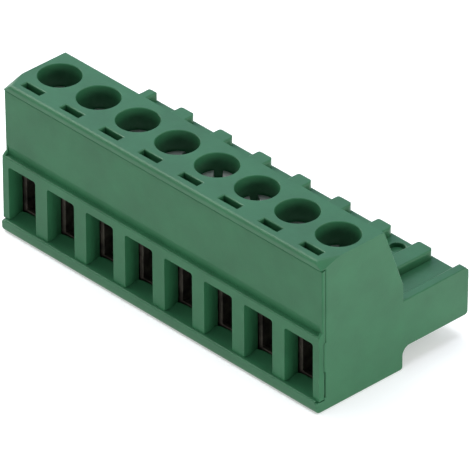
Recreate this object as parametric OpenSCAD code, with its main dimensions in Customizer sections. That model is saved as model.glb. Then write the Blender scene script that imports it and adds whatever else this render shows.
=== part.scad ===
// Pluggable screw terminal block, 8 positions, cable side plug.
// X runs along the row of positions, Y from the wire side (front) to the
// mating side (rear), Z up. Z = 0 is the flat underside.

/* [Housing] */
// overall width along the row of positions
body_w = 40.64; // [40.64:0.02:40.9]
// overall depth from the sill to the mating face
body_d = 18.3; // [18.1:0.1:18.8]
// overall height
body_h = 15.2; // [15.1:0.1:15.8]
// diameter of the screwdriver holes in the top face
hole_d = 4.0; // [3.9:0.05:4.2]
// distance of the screwdriver holes from the sill front
hole_y = 5.03; // [4.95:0.01:5.1]
// height of the floor plate
floor_t = 1.1; // [1.0:0.02:1.12]
// height of the lip along the front of the floor plate
sill_z = 1.32; // [1.2:0.02:1.4]
// thickness of the walls between the positions
wall_t = 1.08; // [0.96:0.02:1.16]

/* [Mating section] */
// height of its underside above the underside of the body
mate_z = 2.2; // [2.1:0.05:2.3]
// height of the groove floors on its top
groove_z = 6.2; // [6.15:0.05:6.3]
// height of the ribs above the groove floors
rib_h = 0.9; // [0.5:0.05:1.1]
// width of a rib between two positions
rib_w = 2.0; // [1.6:0.05:2.3]
// width of a contact socket
socket_w = 3.1; // [3.0:0.02:3.3]

/* [Front cover] */
// width of a wire entry window
win_w = 3.55; // [3.3:0.05:3.6]
// height of the top edge of the windows
win_top = 6.87; // [6.4:0.01:6.9]
// height of the top edge of the window frame
frame_z = 7.8; // [7.6:0.01:8.0]
// height of the top edge of the upper panel
panel_z = 14.44; // [14.36:0.01:14.5]
// width of a snap hook
hook_w = 2.1; // [1.8:0.05:2.2]

/* [Clamp] */
// outside diameter of the screw thread
screw_d = 3.0; // [2.9:0.02:3.0]
// diameter of the screw head
head_d = 3.7; // [3.5:0.02:3.74]
// height of the screw head
head_h = 1.6; // [1.4:0.05:1.65]
// width of the screw slot
slot_w = 0.8; // [0.6:0.05:0.9]
// depth of the screw slot
slot_depth = 0.9; // [0.6:0.05:1.0]
// outside width of a cage
cage_w = 3.8; // [3.76:0.01:3.84]
// depth of a cage along the wire
cage_d = 5.2; // [5.1:0.05:5.25]
// thickness of the cage sides
cage_t = 0.6; // [0.56:0.01:0.64]
// thickness of the cage floor
cage_floor = 0.7; // [0.6:0.02:0.78]

/* [Contact] */
// width of the clamping bar
bar_w = 2.3; // [2.1:0.02:2.36]
// thickness of the clamping bar
bar_t = 0.8; // [0.7:0.02:0.8]
// thickness of a socket tine
tine_t = 0.35; // [0.3:0.01:0.4]
// width of a socket tine
tine_w = 2.2; // [2.0:0.05:2.4]

/* [Hidden] */
pitch = 5.08;
n_pos = 8;
e = 0.02;
hw = body_w/2;
cham_w = pitch - wall_t;
end_t = hw - 3.5*pitch - cham_w/2;
cham_y0 = 1.95;
cham_y1 = 7.9;
cham_z1 = 10.95;
seat_z = 11.4;
mate_y = 10.4;
knee_y = 10.45;
knee_z = 8.75;
top_y0 = 0.55;
lip_z = 14.54;
seam_r = 0.22;
top_y1 = 8.1;
wall_y = 1.12;
panel_y = 0.7;
frame_y = 0.3;
bar_z = 5.0;
tip_z = bar_z + bar_t + 0.06;
cage_z0 = floor_t + 0.04;
cage_z1 = 8.0;
block_t = 1.8;
cage_y0 = 2.02;
sock_z0 = 2.8;
sock_z1 = 5.62;
sock_zc = (sock_z0 + sock_z1)/2;
head_lift = [0, 0, 0.1, 0.25, 0.6, 0.4, 0, 0];
slot_turn = [20, 75, -35, 10, 43, 58, -20, 30];

function px(i) = (i - (n_pos + 1)/2)*pitch;
function arc(cy, cz, r, a0, a1, n = 6) =
  [for (k = [0:n]) [cy + r*cos(a0 + (a1 - a0)*k/n), cz + r*sin(a0 + (a1 - a0)*k/n)]];

// prism along X of a profile drawn in Y and Z
module yz(x0, x1) {
  translate([x0, 0, 0]) rotate([90, 0, 90]) linear_extrude(height = x1 - x0) children();
}
// prism along Y of a profile drawn in X and Z
module xz(y0, y1) {
  translate([0, y1, 0]) rotate([90, 0, 0]) linear_extrude(height = y1 - y0) children();
}
module box(x0, x1, y0, y1, z0, z1) {
  translate([x0, y0, z0]) cube([x1 - x0, y1 - y0, z1 - z0]);
}

// outline of an end wall with the rear wall and the mating section
module side_outline() {
  polygon(concat(
    arc(0.5, 0.5, 0.5, 270, 180),
    arc(0.15, floor_t - 0.15, 0.15, 180, 90, 3),
    [[wall_y - 0.12, floor_t], [wall_y - 0.06, 3.2], [wall_y - 0.22, 4.7], [wall_y - 0.22, 5.0],
     [wall_y - 0.16, 5.3], [wall_y - 0.16, 6.85], [wall_y, 7.1], [wall_y, body_h]],
    arc(top_y1 - 0.32, body_h - 0.4, 0.4, 90, 20.6, 5),
    [[knee_y, knee_z], [knee_y, groove_z + rib_h]],
    arc(body_d - 0.5, groove_z + rib_h - 0.5, 0.5, 90, 0),
    arc(body_d - 0.4, mate_z + 0.4, 0.4, 0, -90),
    arc(mate_y + 0.8, mate_z - 0.8, 0.8, 90, 180),
    arc(mate_y - 0.3, 0.3, 0.3, 0, -90, 4)));
}

// floor plate with the rounded front sill
module floor_outline() {
  polygon(concat(
    arc(0.5, 0.5, 0.5, 270, 180),
    arc(0.15, floor_t - 0.15, 0.15, 180, 90, 3),
    [[cham_y1 + 1, floor_t]],
    [[cham_y1 + 1, 0]]));
}

// lip along the front of the floor plate, under the cover
module sill_outline() {
  polygon(concat(
    [[0, floor_t - 0.3]],
    arc(0.15, sill_z - 0.15, 0.15, 180, 90, 3),
    [[0.95, sill_z], [1.02, floor_t - 0.1], [0.4, floor_t - 0.3]]));
}

// groove with rounded edges along the seam at the side of the cover
module seam_cut(y0, z0, z1) {
  translate([0, 0, z0]) linear_extrude(height = z1 - z0)
    polygon(concat(
      [[hw + 0.2, y0 - seam_r]],
      arc(hw - seam_r, y0 - seam_r, seam_r, 0, 90, 4),
      arc(hw - seam_r, y0 + seam_r + 0.02, seam_r, -90, 0, 4),
      [[hw + 0.2, y0 + seam_r + 0.02]]));
}
module seam_cuts() {
  seam_cut(1.02, sill_z + 0.04, 4.0);
  seam_cut(0.93, 4.0, 7.0);
  seam_cut(1.09, 7.0, lip_z);
}

// rear wall and mating section between the end walls, up to the groove floors
module rear_outline() {
  polygon(concat(
    [[cham_y1, 0], [cham_y1, body_h - 2]],
    [[cham_y1 - 0.2, body_h - 2], [cham_y1 - 0.2, body_h]],
    arc(top_y1 - 0.32, body_h - 0.4, 0.4, 90, 20.6, 5),
    [[knee_y, knee_z], [knee_y, groove_z]],
    arc(body_d - 0.25, groove_z - 0.25, 0.25, 90, 0, 4),
    arc(body_d - 0.4, mate_z + 0.4, 0.4, 0, -90),
    arc(mate_y + 0.8, mate_z - 0.8, 0.8, 90, 180),
    arc(mate_y - 0.3, 0.3, 0.3, 0, -90, 4)));
}

// top front plate with the rounded lip over the cover
module lip_outline() {
  polygon(concat(
    [[top_y0 + 2.6, body_h]],
    arc(top_y0 + 0.4, body_h - 0.4, 0.4, 90, 180),
    [[top_y0, lip_z], [1.3, lip_z], [1.42, 14.1], [2.9, 14.1]]));
}

// cross section of a rib with rounded upper edges
module rib_outline(w) {
  r = 0.25;
  polygon(concat(
    [[-w/2, groove_z - 0.3]],
    [[w/2, groove_z - 0.3]],
    arc(w/2 - r, groove_z + rib_h - r, r, 0, 90),
    arc(-w/2 + r, groove_z + rib_h - r, r, 90, 180)));
}
module rib(x, w) {
  intersection() {
    translate([x, 0, 0]) xz(mate_y - 1, body_d) rib_outline(w);
    yz(x - 2, x + 2)
      polygon(concat(
        [[mate_y - 2, groove_z - 0.5], [mate_y - 2, groove_z + rib_h]],
        arc(body_d - 0.4, groove_z + rib_h - 0.3, 0.3, 90, 0),
        [[body_d - 0.1, groove_z - 0.5]]));
    translate([x, 0, groove_z - 1]) linear_extrude(height = 3)
      polygon(concat([[-w/2, 9], [w/2, 9]],
        arc(w/2 - 0.4*w, body_d - 0.1 - 0.4*w, 0.4*w, 0, 90, 8),
        arc(-w/2 + 0.4*w, body_d - 0.1 - 0.4*w, 0.4*w, 90, 180, 8)));
  }
}

// flared wire guide on the floor of one position, with a bowed rear edge
module ramp(x) {
  intersection() {
    yz(x - win_w/2 + 0.14, x + win_w/2 - 0.14)
      polygon([[0.5, floor_t - 0.1], [0.5, sill_z], [1.75, floor_t + 0.62], [2.5, floor_t + 0.62], [2.5, floor_t - 0.1]]);
    translate([x, -2.57, 0]) cylinder(h = 4, r = 4.5, $fn = 96);
  }
}

// flare of a socket mouth, seen from the side
module mouth_outline() {
  polygon([[body_d - 0.4, sock_zc - 1.1], [body_d - 0.3, sock_zc - 1.1], [body_d + 0.1, sock_zc - 1.45],
    [body_d + 0.1, sock_zc + 1.45], [body_d - 0.3, sock_zc + 1.1], [body_d - 0.4, sock_zc + 1.1]]);
}

// bevel across an upper front corner
module corner_cut() {
  translate([hw, 2.8, body_h]) rotate([0, 39.4, -22.2]) translate([-3, -4, 0]) cube([6, 8, 2]);
}

module housing() {
  color([0.20, 0.42, 0.30])
  translate([0, -body_d/2, 0]) difference() {
    union() {
      // end walls
      for (s = [-1, 1])
        yz(s > 0 ? hw - end_t : -hw, s > 0 ? hw : -hw + end_t) side_outline();
      yz(-hw + e, hw - e) floor_outline();
      yz(-hw + 0.35, hw - 0.35) sill_outline();
      yz(-hw + e, hw - e) rear_outline();
      yz(-hw + e, hw - e) lip_outline();
      // block of the screwdriver holes
      box(-hw + e, hw - e, 2.7, cham_y1 + 0.1, cham_z1, body_h);
      // walls between the positions
      for (i = [1:n_pos - 1])
        box(px(i) + pitch/2 - wall_t/2, px(i) + pitch/2 + wall_t/2, cham_y0, cham_y1 + 0.1, floor_t - 0.1, cham_z1 + 0.1);
      // ribs on the mating section
      for (i = [1:n_pos - 1]) rib(px(i) + pitch/2, rib_w);
      for (s = [-1, 1]) rib(s*(hw - rib_w/4 - 0.02), rib_w/2);
      for (i = [1:n_pos]) ramp(px(i));
    }
    for (i = [1:n_pos]) {
      // screwdriver hole, with the seat of the screw head under it
      translate([px(i), hole_y, seat_z]) cylinder(h = 5, d = hole_d, $fn = 64);
      translate([px(i), hole_y, cham_z1 - 1]) cylinder(h = 3, d = screw_d + 0.3, $fn = 48);
      translate([px(i), hole_y, body_h - 0.05]) cylinder(h = 0.06, d1 = hole_d, d2 = hole_d + 0.12, $fn = 64);
      // slot for the snap hook
      box(px(i) - 1.18, px(i) + 1.18, 1.5, 2.2, 13, body_h + 1);
      // passage and socket of the contact
      box(px(i) - 1.5, px(i) + 1.5, cham_y1 - 0.1, mate_y + 0.6, sock_z0 + 0.1, bar_z + bar_t + 0.12);
      box(px(i) - socket_w/2, px(i) + socket_w/2, mate_y + 0.5, body_d - 0.9, sock_z0, sock_z1);
      box(px(i) - 1.15, px(i) + 1.15, body_d - 1, body_d + 1, sock_zc - 1.1, sock_zc + 1.1);
      // lead-in of the socket mouth
      intersection() {
        yz(px(i) - 2, px(i) + 2) mouth_outline();
        translate([px(i), 0, sock_zc - 2]) linear_extrude(height = 4)
          polygon([[-1.15, body_d - 0.4], [-1.15, body_d - 0.3], [-1.5, body_d + 0.1], [1.5, body_d + 0.1], [1.15, body_d - 0.3], [1.15, body_d - 0.4]]);
      }
    }
    corner_cut();
    mirror([1, 0, 0]) corner_cut();
    seam_cuts();
    mirror([1, 0, 0]) seam_cuts();
    // round mark in the groove of position 7
    translate([px(7) + 0.1, 16.9, groove_z - 0.45]) cylinder(h = 1, d = 1.5, $fn = 40);
  }
}
housing();

// outline of the cover in front of the end walls
module skin_outline() {
  polygon(concat(
    [[wall_y - 0.14, floor_t + 0.12], [frame_y, floor_t + 0.12]],
    arc(frame_y + 0.1, frame_z - 0.1, 0.1, 180, 100, 3),
    [[panel_y - 0.02, frame_z + 0.3], [panel_y, frame_z + 0.36]],
    arc(panel_y + 0.15, panel_z - 0.15, 0.15, 180, 90, 3),
    [[wall_y - 0.02, panel_z], [wall_y - 0.02, 7.12], [wall_y - 0.18, 6.87], [wall_y - 0.18, 5.28],
     [wall_y - 0.24, 5.01], [wall_y - 0.24, 4.69], [wall_y - 0.08, 3.19]]));
}

// outline of the cover between the end walls
module core_outline() {
  polygon([[0.7, floor_t + 0.03], [1.9, floor_t + 0.03], [1.9, frame_z - 0.2], [1.6, frame_z + 0.2],
    [1.6, panel_z - 0.46], [1.2, panel_z - 0.38], [1.2, panel_z], [0.9, panel_z], [0.7, panel_z - 1]]);
}

// groove between the window frame and the upper panel
module groove_outline() {
  polygon([[-1, frame_z], [0.82, frame_z], [0.84, frame_z + 0.14], [0.81, frame_z + 0.45],
    [0.75, frame_z + 0.8], [panel_y - 0.02, frame_z + 1.1], [-1, frame_z + 1.1]]);
}

// wire entry with flared sides and top
module window(x) {
  intersection() {
    translate([x, 0, 0]) linear_extrude(height = 10)
      polygon([[-win_w/2, -1], [-win_w/2, frame_y + 0.06], [-win_w/2 + 0.12, 1.0], [-win_w/2 + 0.12, 3],
        [win_w/2 - 0.12, 3], [win_w/2 - 0.12, 1.0], [win_w/2, frame_y + 0.06], [win_w/2, -1]]);
    yz(x - 3, x + 3)
      polygon([[-1, -1], [-1, win_top], [frame_y + 0.06, win_top], [1.0, win_top - 0.25], [3, win_top - 0.25], [3, -1]]);
    translate([x, 0, 0]) xz(-1, 3)
      polygon(concat([[win_w/2, -1]],
        arc(win_w/2 - 0.25, win_top - 0.25, 0.25, 0, 90, 4),
        arc(-win_w/2 + 0.25, win_top - 0.25, 0.25, 90, 180, 4),
        [[-win_w/2, -1]]));
  }
}

// front cover with the wire entries and the snap hooks
module front_cover() {
  color([0.22, 0.45, 0.32])
  translate([0, -body_d/2, 0]) union() {
    difference() {
      union() {
        yz(-hw, hw) skin_outline();
        yz(-hw + end_t + 0.06, hw - end_t - 0.06) core_outline();
      }
      // groove over the window frame
      yz(-hw + 0.27, hw - 0.27) groove_outline();
      // seat on the lip of the floor plate
      box(-hw + 0.33, hw - 0.33, -1, 1.06, 0, sill_z + 0.02);
      seam_cuts();
      mirror([1, 0, 0]) seam_cuts();
      for (i = [1:n_pos]) window(px(i));
    }
    for (i = [1:n_pos]) {
      box(px(i) - hook_w/2, px(i) + hook_w/2, 1.5, 2.08, 13.0, 13.7);
      box(px(i) - hook_w/2, px(i) + hook_w/2, 1.66, 2.08, 13.6, 14.6);
    }
  }
}
front_cover();

// clamp screw with a slotted cheese head
module screw(i) {
  z0 = seat_z + 0.02 + head_lift[i - 1];
  tip = tip_z + head_lift[i - 1];
  color([0.72, 0.72, 0.70])
  translate([px(i), hole_y - body_d/2, 0]) difference() {
    union() {
      translate([0, 0, tip + 0.3]) cylinder(h = z0 - tip - 0.2, d = screw_d, $fn = 48);
      translate([0, 0, tip]) cylinder(h = 0.3, d1 = screw_d - 0.6, d2 = screw_d, $fn = 48);
      translate([0, 0, z0]) cylinder(h = head_h - 0.15, d = head_d, $fn = 56);
      translate([0, 0, z0 + head_h - 0.15]) cylinder(h = 0.15, d1 = head_d, d2 = head_d - 0.3, $fn = 56);
    }
    translate([0, 0, z0 + head_h - slot_depth]) rotate([0, 0, slot_turn[i - 1]])
      translate([-slot_w/2, -3, 0]) cube([slot_w, 6, 3]);
  }
}
screw(1);  // screw_1
screw(2);  // screw_2
screw(3);  // screw_3
screw(4);  // screw_4
screw(5);  // screw_5
screw(6);  // screw_6
screw(7);  // screw_7
screw(8);  // screw_8

// rising clamp cage, lowered
module cage(i) {
  color([0.66, 0.64, 0.58])
  translate([px(i), -body_d/2, 0]) difference() {
    xz(cage_y0, cage_y0 + cage_d) polygon(concat(
      arc(cage_w/2 - 0.35, cage_z0 + 0.35, 0.35, -90, 0),
      arc(cage_w/2 - 0.35, cage_z1 - 0.35, 0.35, 0, 90),
      arc(-cage_w/2 + 0.35, cage_z1 - 0.35, 0.35, 90, 180),
      arc(-cage_w/2 + 0.35, cage_z0 + 0.35, 0.35, 180, 270)));
    box(-cage_w/2 + cage_t, cage_w/2 - cage_t, 0, 12, cage_z0 + cage_floor, cage_z1 - block_t);
    // bore of the screw, with its relief down the inside of the sides
    translate([0, hole_y, cage_z1 - 5.1]) cylinder(h = 7, d = screw_d + 0.1, $fn = 48);
  }
}
cage(1);  // cage_1
cage(2);  // cage_2
cage(3);  // cage_3
cage(4);  // cage_4
cage(5);  // cage_5
cage(6);  // cage_6
cage(7);  // cage_7
cage(8);  // cage_8

// contact: clamping bar, neck and two-tine socket spring
module contact(i) {
  zb = bar_z;
  zt = bar_z + bar_t;
  color([0.80, 0.78, 0.72])
  translate([px(i), -body_d/2, 0]) union() {
    yz(-bar_w/2, bar_w/2)
      polygon([[2.45, zb + 0.15], [2.6, zb], [8.3, zb], [8.9, zb], [8.9, zt], [2.6, zt], [2.45, zt - 0.15]]);
    yz(-1.4, 1.4)
      polygon([[8.1, zt], [8.1, zb], [8.5, zb], [9.3, sock_zc - 0.45], [10.3, sock_zc - 0.45],
        [10.3, sock_zc + 0.45], [10.0, sock_zc + 0.45], [8.9, zt]]);
    yz(-tine_w/2, tine_w/2)
      polygon([[9.6, sock_zc - 0.45], [10.2, sock_zc - 0.45 - tine_t], [11.2, sock_zc - 0.72 - tine_t],
        [15.6, sock_zc - 0.42 - tine_t], [16.0, sock_zc - 0.42 - tine_t], [17.2, sock_zc - 0.85 - tine_t + 0.1],
        [17.3, sock_zc - 0.8], [16.0, sock_zc - 0.42], [15.6, sock_zc - 0.42], [11.4, sock_zc - 0.72],
        [10.6, sock_zc - 0.3], [10.6, sock_zc + 0.3], [11.4, sock_zc + 0.72], [15.6, sock_zc + 0.42],
        [16.0, sock_zc + 0.42], [17.3, sock_zc + 0.8], [17.2, sock_zc + 0.85 + tine_t - 0.1],
        [16.0, sock_zc + 0.42 + tine_t], [15.6, sock_zc + 0.42 + tine_t], [11.2, sock_zc + 0.72 + tine_t],
        [10.2, sock_zc + 0.45 + tine_t], [9.6, sock_zc + 0.45]]);
  }
}
contact(1);  // contact_1
contact(2);  // contact_2
contact(3);  // contact_3
contact(4);  // contact_4
contact(5);  // contact_5
contact(6);  // contact_6
contact(7);  // contact_7
contact(8);  // contact_8
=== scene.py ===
"""Looks of the pluggable terminal block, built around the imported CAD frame."""
import math

import bmesh
import bpy
from mathutils import Matrix, Vector
from mathutils.bvhtree import BVHTree


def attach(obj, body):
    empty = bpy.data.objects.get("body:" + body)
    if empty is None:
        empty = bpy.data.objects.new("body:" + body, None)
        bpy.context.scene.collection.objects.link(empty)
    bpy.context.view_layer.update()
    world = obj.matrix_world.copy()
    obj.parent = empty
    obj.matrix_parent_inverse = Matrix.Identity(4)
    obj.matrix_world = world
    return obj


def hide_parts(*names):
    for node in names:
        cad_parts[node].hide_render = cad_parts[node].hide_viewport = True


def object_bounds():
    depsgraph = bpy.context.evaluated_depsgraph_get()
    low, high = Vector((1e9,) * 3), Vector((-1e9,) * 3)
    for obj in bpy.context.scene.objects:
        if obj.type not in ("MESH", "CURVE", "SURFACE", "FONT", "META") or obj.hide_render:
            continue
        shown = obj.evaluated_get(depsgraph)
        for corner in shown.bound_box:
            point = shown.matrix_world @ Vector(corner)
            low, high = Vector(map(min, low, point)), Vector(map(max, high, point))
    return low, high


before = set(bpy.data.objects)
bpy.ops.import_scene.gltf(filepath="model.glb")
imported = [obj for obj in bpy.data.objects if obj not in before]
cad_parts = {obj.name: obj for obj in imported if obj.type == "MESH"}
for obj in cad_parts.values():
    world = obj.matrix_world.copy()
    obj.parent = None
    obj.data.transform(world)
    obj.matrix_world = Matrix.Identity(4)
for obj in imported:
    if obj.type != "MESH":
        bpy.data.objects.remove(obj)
CAD_BOX = [list(map(float, corner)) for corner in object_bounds()]
MM = 0.001
PITCH = 5.08
N_POS = 8


def pos_x(i):
    return (i - (N_POS + 1) / 2) * PITCH


# ---------------------------------------------------------------- camera
def camera():
    az, el, roll = math.radians(47.007), math.radians(32.897), math.radians(-0.315)
    back = Vector((math.sin(az) * math.cos(el), -math.cos(az) * math.cos(el), math.sin(el)))
    right = Vector((math.cos(az), math.sin(az), 0))
    up = back.cross(right)
    r2 = math.cos(roll) * right + math.sin(roll) * up
    u2 = -math.sin(roll) * right + math.cos(roll) * up
    target = Vector((0, -0.15, 7.5)) * MM
    place = target + back * 0.78979 + r2 * 0.3526 * MM - u2 * 2.105 * MM
    data = bpy.data.cameras.new("camera")
    data.sensor_width = 36
    data.lens = 689.7
    data.clip_start = 0.05
    data.clip_end = 20
    cam = bpy.data.objects.new("camera", data)
    m = Matrix((r2, u2, back)).transposed().to_4x4()
    m.translation = place
    cam.matrix_world = m
    bpy.context.scene.collection.objects.link(cam)
    bpy.context.scene.camera = cam


camera()


# ------------------------------------------------------------- materials
class Nodes:
    """Short hand for a material's node tree."""

    def __init__(self, name):
        self.mat = bpy.data.materials.new(name)
        self.mat.use_nodes = True
        self.tree = self.mat.node_tree
        self.tree.nodes.clear()
        self.out = self.new("ShaderNodeOutputMaterial")
        self.bsdf = self.new("ShaderNodeBsdfPrincipled")
        self.link(self.bsdf.outputs[0], self.out.inputs["Surface"])

    def new(self, kind, **values):
        node = self.tree.nodes.new(kind)
        for key, value in values.items():
            if hasattr(node, key):
                setattr(node, key, value)
            else:
                node.inputs[key].default_value = value
        return node

    def link(self, a, b):
        self.tree.links.new(a, b)

    def noise(self, coord, scale, detail=3.0, rough=0.55):
        node = self.new("ShaderNodeTexNoise")
        node.inputs["Scale"].default_value = scale
        node.inputs["Detail"].default_value = detail
        node.inputs["Roughness"].default_value = rough
        self.link(coord, node.inputs["Vector"])
        return node.outputs["Fac"]

    def ramp(self, fac, stops):
        node = self.new("ShaderNodeValToRGB")
        el = node.color_ramp.elements
        while len(el) < len(stops):
            el.new(0.5)
        for e, (p, c) in zip(el, stops):
            e.position = p
            e.color = (*c, 1) if len(c) == 3 else c
        self.link(fac, node.inputs["Fac"])
        return node.outputs["Color"]

    def span(self, fac, low, high, f0=0.0, f1=1.0):
        node = self.new("ShaderNodeMapRange")
        node.inputs["From Min"].default_value = f0
        node.inputs["From Max"].default_value = f1
        node.inputs["To Min"].default_value = low
        node.inputs["To Max"].default_value = high
        self.link(fac, node.inputs["Value"])
        return node.outputs["Result"]

    def bump(self, height, strength, distance, under=None):
        node = self.new("ShaderNodeBump")
        node.inputs["Strength"].default_value = strength
        node.inputs["Distance"].default_value = distance
        self.link(height, node.inputs["Height"])
        if under is not None:
            self.link(under, node.inputs["Normal"])
        return node.outputs["Normal"]


def moulded_green(name, base, seed, sheen=0.3):
    """Injection-moulded polyamide: fine spark-eroded grain, faint cloudy flow
    variation, slightly uneven gloss."""
    n = Nodes(name)
    coord = n.new("ShaderNodeTexCoord").outputs["Object"]
    shift = n.new("ShaderNodeVectorMath")
    shift.operation = "ADD"
    shift.inputs[1].default_value = (seed * 0.013, seed * 0.007, seed * 0.003)
    n.link(coord, shift.inputs[0])
    coord = shift.outputs[0]
    cloud = n.noise(coord, 260, 4.0, 0.6)
    grain = n.noise(coord, 7000, 2.0, 0.5)
    blotch = n.noise(coord, 1500, 3.0, 0.6)
    dark = tuple(c * 0.9 for c in base)
    light = tuple(c * 1.09 for c in base)
    colour = n.ramp(cloud, [(0.32, dark), (0.68, light)])
    n.link(colour, n.bsdf.inputs["Base Color"])
    n.link(n.span(blotch, 0.36, 0.48), n.bsdf.inputs["Roughness"])
    flow = n.noise(coord, 90, 2.0, 0.5)
    normal = n.bump(grain, 0.25, 0.00002)
    normal = n.bump(cloud, 0.12, 0.00012, normal)
    normal = n.bump(flow, 0.10, 0.0006, normal)
    n.link(normal, n.bsdf.inputs["Normal"])
    n.bsdf.inputs["IOR"].default_value = 1.5
    n.bsdf.inputs["Specular IOR Level"].default_value = sheen
    return n.mat


def plated(name, low, high, rough, scale=900, bump=0.15, stretch=(1, 1, 1)):
    """Plated metal: drawn or turned lines, cloudy tarnish."""
    n = Nodes(name)
    coord = n.new("ShaderNodeTexCoord").outputs["Object"]
    mapping = n.new("ShaderNodeMapping")
    mapping.inputs["Scale"].default_value = stretch
    n.link(coord, mapping.inputs["Vector"])
    lines = n.noise(mapping.outputs[0], scale * 4, 3.0, 0.6)
    cloud = n.noise(coord, scale, 4.0, 0.6)
    n.link(n.ramp(cloud, [(0.3, low), (0.7, high)]), n.bsdf.inputs["Base Color"])
    n.bsdf.inputs["Metallic"].default_value = 1.0
    n.link(n.span(lines, rough - 0.07, rough + 0.1), n.bsdf.inputs["Roughness"])
    n.link(n.bump(lines, bump, 0.00002), n.bsdf.inputs["Normal"])
    return n.mat


GREEN = (0.0201, 0.1010, 0.0438)
housing_mat = moulded_green("housing_green", GREEN, 1)
cover_mat = moulded_green("cover_green", (0.0198, 0.1000, 0.0432), 5, 0.2)
screw_mat = plated("screw_zinc", (0.46, 0.48, 0.46), (0.62, 0.63, 0.60), 0.38)
# The cage's base colour is painted far darker than nickel plating: painted shade for the gloom deep inside the wire
# windows.
cage_shaded_mat = plated("cage_nickel", (0.030, 0.027, 0.023), (0.11, 0.10, 0.082), 0.6, stretch=(6, 1, 0.2))
contact_mat = plated("contact_tin", (0.48, 0.46, 0.42), (0.66, 0.64, 0.60), 0.3, stretch=(4, 0.3, 1))


# ------------------------------------------------------------ mesh tools
def near_segment(c, a, b, limit):
    d = b - a
    size = d.length_squared
    u = max(0.0, min(1.0, (c - a).dot(d) / size)) if size > 0 else 0.0
    return (a + d * u - c).length < limit


def tidy(bm, weld=8e-6):
    bmesh.ops.remove_doubles(bm, verts=bm.verts, dist=weld)
    bmesh.ops.dissolve_limit(bm, angle_limit=math.radians(0.5), verts=bm.verts, edges=bm.edges, delimit=set())
    bm.normal_update()


def round_edges(base, width, segments=3, angle=35, pick=None, rounds=5):
    """Round the convex edges of a mesh. Edges where there is no room for the
    rounding are found by comparing with the mesh as it was, and stay as they
    are."""
    tree = BVHTree.FromBMesh(base)
    limit = width * MM * 0.75
    banned = []
    bm = base
    for _ in range(rounds):
        bm = base.copy()
        chosen = []
        for e in bm.edges:
            if not e.is_manifold or not e.is_convex or e.calc_face_angle() < math.radians(angle):
                continue
            a, b = e.verts[0].co, e.verts[1].co
            if pick is not None and not pick(a, b):
                continue
            length = (b - a).length
            clear = True
            for c in banned:
                ends = min((a - c).length, (b - c).length)
                if ends < 0.15 * MM or (length < 1.2 * MM and ends < 0.45 * MM) or (
                    length < 3 * MM and near_segment(c, a, b, 0.1 * MM)
                ):
                    clear = False
                    break
            if clear:
                chosen.append(e)
        if not chosen:
            break
        bmesh.ops.bevel(bm, geom=chosen, offset=width * MM, offset_type="OFFSET", segments=segments,
                        profile=0.5, affect="EDGES", clamp_overlap=False, miter_outer="ARC",
                        spread=0.05 * MM, loop_slide=True)
        bm.normal_update()
        wrong = []
        for v in bm.verts:
            hit = tree.find_nearest(v.co)
            if hit[3] is None or hit[3] > limit:
                wrong.append(v.co.copy())
        for f in bm.faces:
            if f.calc_area() < 1e-12:
                continue
            c = f.calc_center_median()
            hit = tree.find_nearest(c)
            if hit[1] is not None and hit[1].dot(f.normal) < -0.1:
                wrong.append(c)
        if not wrong:
            break
        for c in wrong:
            best = min(base.verts, key=lambda v: (v.co - c).length_squared).co
            if all((best - x).length > 1e-6 for x in banned):
                banned.append(best.copy())
    return bm


def piece(name, bm, mat, body, node, sharp=33):
    """A mesh object from bm: flat faces stay flat, rounded edges shade round."""
    bmesh.ops.remove_doubles(bm, verts=bm.verts, dist=1e-6)
    bmesh.ops.dissolve_degenerate(bm, dist=1e-7, edges=bm.edges)
    bm.normal_update()
    for f in bm.faces:
        f.smooth = True
    for e in bm.edges:
        e.smooth = e.is_manifold and e.calc_face_angle() < math.radians(sharp)
    me = bpy.data.meshes.new(name)
    bm.to_mesh(me)
    me.materials.append(mat)
    o = bpy.data.objects.new(name, me)
    bpy.context.scene.collection.objects.link(o)
    w = o.modifiers.new("flats", "WEIGHTED_NORMAL")
    w.mode = "FACE_AREA_WITH_ANGLE"
    w.weight = 100
    w.keep_sharp = True
    low, high = Vector(CAD_BOX[0]), Vector(CAD_BOX[1])
    for v in me.vertices:
        for k in range(3):
            v.co[k] = min(max(v.co[k], low[k]), high[k])
    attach(o, body)
    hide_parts(node)
    return o


def carried(node, nudge=None):
    bm = bmesh.new()
    bm.from_mesh(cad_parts[node].data)
    if nudge is not None:
        for v in bm.verts:
            nudge(v.co)
    tidy(bm)
    return bm


def prism(outline, axis, lo, hi):
    """Closed prism. axis 0: outline in Y, Z; 1: in X, Z; 2: in X, Y. All mm."""
    bm = bmesh.new()

    def at(p, t):
        c = {0: (t, p[0], p[1]), 1: (p[0], t, p[1]), 2: (p[0], p[1], t)}[axis]
        return Vector(c) * MM

    low = [bm.verts.new(at(p, lo)) for p in outline]
    high = [bm.verts.new(at(p, hi)) for p in outline]
    n = len(outline)
    for k in range(n):
        bm.faces.new((low[k], low[(k + 1) % n], high[(k + 1) % n], high[k]))
    bm.faces.new(low[::-1])
    bm.faces.new(high)
    bmesh.ops.recalc_face_normals(bm, faces=bm.faces)
    return bm


def turned(profile, sides, x=0.0, y=0.0):
    """Closed body of revolution of (radius, height) points, in mm."""
    bm = bmesh.new()
    rings = []
    for r, z in profile:
        rings.append([bm.verts.new(Vector((x + r * math.cos(2 * math.pi * k / sides),
                                           y + r * math.sin(2 * math.pi * k / sides), z)) * MM)
                      for k in range(sides)])
    for lo, hi in zip(rings, rings[1:]):
        for k in range(sides):
            bm.faces.new((lo[k], lo[(k + 1) % sides], hi[(k + 1) % sides], hi[k]))
    bm.faces.new(rings[0][::-1])
    bm.faces.new(rings[-1])
    bmesh.ops.recalc_face_normals(bm, faces=bm.faces)
    return bm


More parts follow.
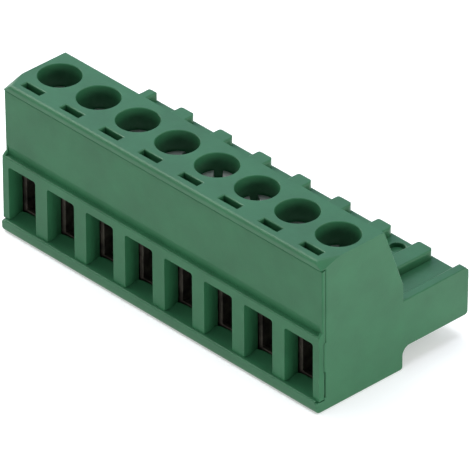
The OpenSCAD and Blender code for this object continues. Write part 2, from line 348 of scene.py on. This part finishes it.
def cut(bm, *cutters):
    """bm less the cutters, worked out by the exact boolean."""
    made = []
    for k, part in enumerate((bm,) + cutters):
        me = bpy.data.meshes.new("scrap")
        part.to_mesh(me)
        o = bpy.data.objects.new("scrap", me)
        bpy.context.scene.collection.objects.link(o)
        made.append(o)
    for o in made[1:]:
        m = made[0].modifiers.new("cut", "BOOLEAN")
        m.operation = "DIFFERENCE"
        m.solver = "EXACT"
        m.object = o
    graph = bpy.context.evaluated_depsgraph_get()
    got = bpy.data.meshes.new_from_object(made[0].evaluated_get(graph))
    out = bmesh.new()
    out.from_mesh(got)
    for o in made:
        me = o.data
        bpy.data.objects.remove(o)
        bpy.data.meshes.remove(me)
    bpy.data.meshes.remove(got)
    bmesh.ops.remove_doubles(out, verts=out.verts, dist=2e-7)
    out.normal_update()
    return out


def arc(cx, cy, r, a0, a1, n=6):
    return [(cx + r * math.cos(math.radians(a0 + (a1 - a0) * k / n)),
             cy + r * math.sin(math.radians(a0 + (a1 - a0) * k / n))) for k in range(n + 1)]


# ------------------------------------------------- housing and front cover
def soft_seam(co):
    """The groove along the side seam is shallow, with worn edges."""
    inward = 20.32 * MM - abs(co.x)
    if 0 < inward < 0.23 * MM and 1.3 * MM < co.z < 14.6 * MM and (0.62 - 9.15) * MM < co.y < (1.4 - 9.15) * MM:
        co.x += math.copysign(inward * 0.5, co.x)


def close_seam(co):
    """The cover sits hard against the end walls: no light shows between them."""
    soft_seam(co)
    if abs(co.x) > 19.6 * MM and co.y > (0.62 - 9.15) * MM and co.z > 1.5 * MM:
        co.y += 0.014 * MM
    if co.z > 14.3 * MM and co.y < (1.25 - 9.15) * MM:
        co.z -= 0.03 * MM


piece("housing_moulding", round_edges(carried("housing", soft_seam), 0.14), housing_mat, "block", "housing")
piece("cover_moulding", round_edges(carried("front_cover", close_seam), 0.13, pick=lambda a, b: min(a.z, b.z) < 14.2 * MM), cover_mat, "block", "front_cover")


# ----------------------------------------------------------- clamp screws
HOLE_Y = 5.03 - 9.15
LIFT = (0, 0, 0.1, 0.25, 0.6, 0.4, 0, 0)
TURN = (20, 75, -35, 10, 43, 58, -20, 30)


def screw(i):
    """Cheese-head clamp screw: right-hand thread of 0.5 mm pitch, undercut,
    turned head with a sawn slot."""
    x, lift = pos_x(i), LIFT[i - 1]
    tip, head = 5.86 + lift, 11.42 + lift
    neck = head - 0.3
    sides, step = 40, 0.5
    shape = ((0.0, 1.22), (0.22, 1.22), (0.52, 1.49), (0.68, 1.49))
    rows = []
    turns = int((neck - tip) / step) + 3
    for t in range(-1, turns):
        for frac, r in shape:
            rows.append((t + frac, r))
    bm = bmesh.new()
    grid = []
    for pos, r in rows:
        ring = []
        for k in range(sides + 1):
            z = min(max(tip + step * (pos + k / sides), tip), neck)
            rr = min(r, 1.02 + (z - tip), 1.22 + (neck - z))
            a = 2 * math.pi * k / sides
            ring.append(bm.verts.new(Vector((x + rr * math.cos(a), HOLE_Y + rr * math.sin(a), z)) * MM))
        grid.append(ring)
    for r, z in ((1.22, head), (1.72, head), (1.84, head + 0.1), (1.84, head + 1.38), (1.81, head + 1.47),
                 (1.74, head + 1.54), (1.64, head + 1.58), (1.2, head + 1.59), (0.6, head + 1.59)):
        grid.append([bm.verts.new(Vector((x + r * math.cos(2 * math.pi * k / sides),
                                          HOLE_Y + r * math.sin(2 * math.pi * k / sides), z)) * MM)
                     for k in range(sides + 1)])
    for lo, hi in zip(grid, grid[1:]):
        for k in range(sides):
            bm.faces.new((lo[k], lo[k + 1], hi[k + 1], hi[k]))
    bmesh.ops.remove_doubles(bm, verts=bm.verts, dist=1e-7)
    bmesh.ops.dissolve_degenerate(bm, dist=1e-7, edges=bm.edges)
    bmesh.ops.holes_fill(bm, edges=[e for e in bm.edges if e.is_boundary], sides=0)
    bmesh.ops.recalc_face_normals(bm, faces=bm.faces)
    saw = prism([(-0.4, -3), (0.4, -3), (0.4, 3), (-0.4, 3)], 2, head + 1.6 - 0.9, head + 3)
    bmesh.ops.rotate(saw, verts=saw.verts, cent=(0, 0, 0), matrix=Matrix.Rotation(math.radians(TURN[i - 1]), 3, "Z"))
    bmesh.ops.translate(saw, verts=saw.verts, vec=Vector((x, HOLE_Y, 0)) * MM)
    bm = cut(bm, saw)
    return round_edges(bm, 0.05, 2, 50, pick=lambda a, b: min(a.z, b.z) > (head + 0.5) * MM, rounds=4)


for i in range(1, N_POS + 1):
    piece("clamp_screw_%d" % i, screw(i), screw_mat, "screw_%d_body" % i, "screw_%d" % i)


# ------------------------------------------------------------ clamp cages
def saw_teeth(y0, y1, z, depth, n):
    """Zigzag between (y0, z) and (y1, z), dipping by depth."""
    w = (y1 - y0) / n
    line = []
    for k in range(n):
        line += [(y0 + k * w, z), (y0 + (k + 0.35) * w, z - depth)]
    return line + [(y1, z)]


def cage(i):
    """Clamp cage: block with a plain bore for the screw, over two sides and a serrated floor."""
    x = pos_x(i)
    y0, y1 = 2.02 - 9.15, 7.22 - 9.15
    z0, z1, w, r = 1.14, 8.0, 1.9, 0.35
    ring = (arc(x + w - r, z0 + r, r, -90, 0) + arc(x + w - r, z1 - r, r, 0, 90)
            + arc(x - w + r, z1 - r, r, 90, 180) + arc(x - w + r, z0 + r, r, 180, 270))
    body = prism(ring, 1, y0, y1)
    floor_line = [(y0 - 1, 1.84), (y0 + 0.35, 1.84)] + saw_teeth(y0 + 0.4, y1 - 0.4, 1.84, 0.16, 9) + [(y1 + 1, 1.84)]
    gap = prism(floor_line + [(y1 + 1, 6.2), (y0 - 1, 6.2)], 0, x - 1.3, x + 1.3)
    bore = turned([(1.55, 2.9), (1.55, z1 - 0.22), (1.78, z1), (1.9, z1 + 0.5)], 48, x, HOLE_Y)
    bm = cut(body, gap, bore)
    tidy(bm, 1e-6)
    return round_edges(bm, 0.07, 2, 50, rounds=5)


for i in range(1, N_POS + 1):
    piece("clamp_cage_%d" % i, cage(i), cage_shaded_mat, "cage_%d_body" % i, "cage_%d" % i)


# --------------------------------------------------------------- contacts
def contact(i):
    """Contact with pressed teeth under the clamping bar."""
    x = pos_x(i)
    y0, y1 = 3.3 - 9.15, 6.9 - 9.15
    teeth = prism([(y0, 4.6)] + [(y, 10.0 - z) for y, z in saw_teeth(y0, y1, 5.0, 0.1, 9)] + [(y1, 4.6)],
                  0, x - 1.6, x + 1.6)
    bm = cut(carried("contact_%d" % i), teeth)
    tidy(bm, 1e-6)
    return round_edges(bm, 0.05, 2, 50, rounds=5)


for i in range(1, N_POS + 1):
    piece("contact_spring_%d" % i, contact(i), contact_mat, "block", "contact_%d" % i)


# ------------------------------------------------------- floor and light
def floor():
    me = bpy.data.meshes.new("floor")
    s = 2.0
    me.from_pydata([(-s, -s, 0), (s, -s, 0), (s, s, 0), (-s, s, 0)], [], [(0, 1, 2, 3)])
    o = bpy.data.objects.new("floor", me)
    bpy.context.scene.collection.objects.link(o)
    o.location.z = -0.00002
    n = Nodes("floor_pale")
    n.bsdf.inputs["Base Color"].default_value = (0.72, 0.72, 0.72, 1)
    n.bsdf.inputs["Roughness"].default_value = 0.9
    n.bsdf.inputs["Specular IOR Level"].default_value = 0.0
    n.bsdf.inputs["Emission Color"].default_value = (1, 1, 1, 1)
    n.bsdf.inputs["Emission Strength"].default_value = 0.36
    me.materials.append(n.mat)


floor()


def area(name, place, aim, size, watts, colour=(1, 1, 1)):
    data = bpy.data.lights.new(name, "AREA")
    data.shape = "RECTANGLE"
    data.size, data.size_y = size
    data.energy = watts
    data.color = colour
    o = bpy.data.objects.new(name, data)
    o.location = place
    o.rotation_euler = (Vector(aim) - Vector(place)).to_track_quat("-Z", "Y").to_euler()
    bpy.context.scene.collection.objects.link(o)
    return o


AIM = (0, 0, 0.008)
area("zenith", (0, 0, 0.75), AIM, (0.5, 0.5), 3.3, (0.95, 1.0, 1.10))
area("left", (-0.60, 0, 0.45), AIM, (0.5, 0.5), 5.5)
area("leftfront", (-0.40, -0.45, 0.40), AIM, (0.5, 0.5), 0.6)
area("frontlow", (0.10, -0.75, 0.12), AIM, (0.6, 0.22), 2.5)
area("rightlow", (0.75, 0, 0.12), AIM, (0.5, 0.22), 4.0)
area("rightback", (0.45, 0.50, 0.45), AIM, (0.5, 0.5), 2.0)
area("backhigh", (-0.10, 0.30, 0.68), AIM, (0.5, 0.5), 0.37)
area("skyback", (-0.50, 0.46, 0.44), AIM, (0.5, 0.5), 0.8, (0.8, 0.95, 1.3))
world = bpy.data.worlds.new("world")
world.use_nodes = True
world.node_tree.nodes["Background"].inputs["Color"].default_value = (1, 1, 1, 1)
world.node_tree.nodes["Background"].inputs["Strength"].default_value = 0.125
bpy.context.scene.world = world
bpy.context.scene.view_settings.view_transform = "Standard"
bpy.context.scene.view_settings.look = "None"
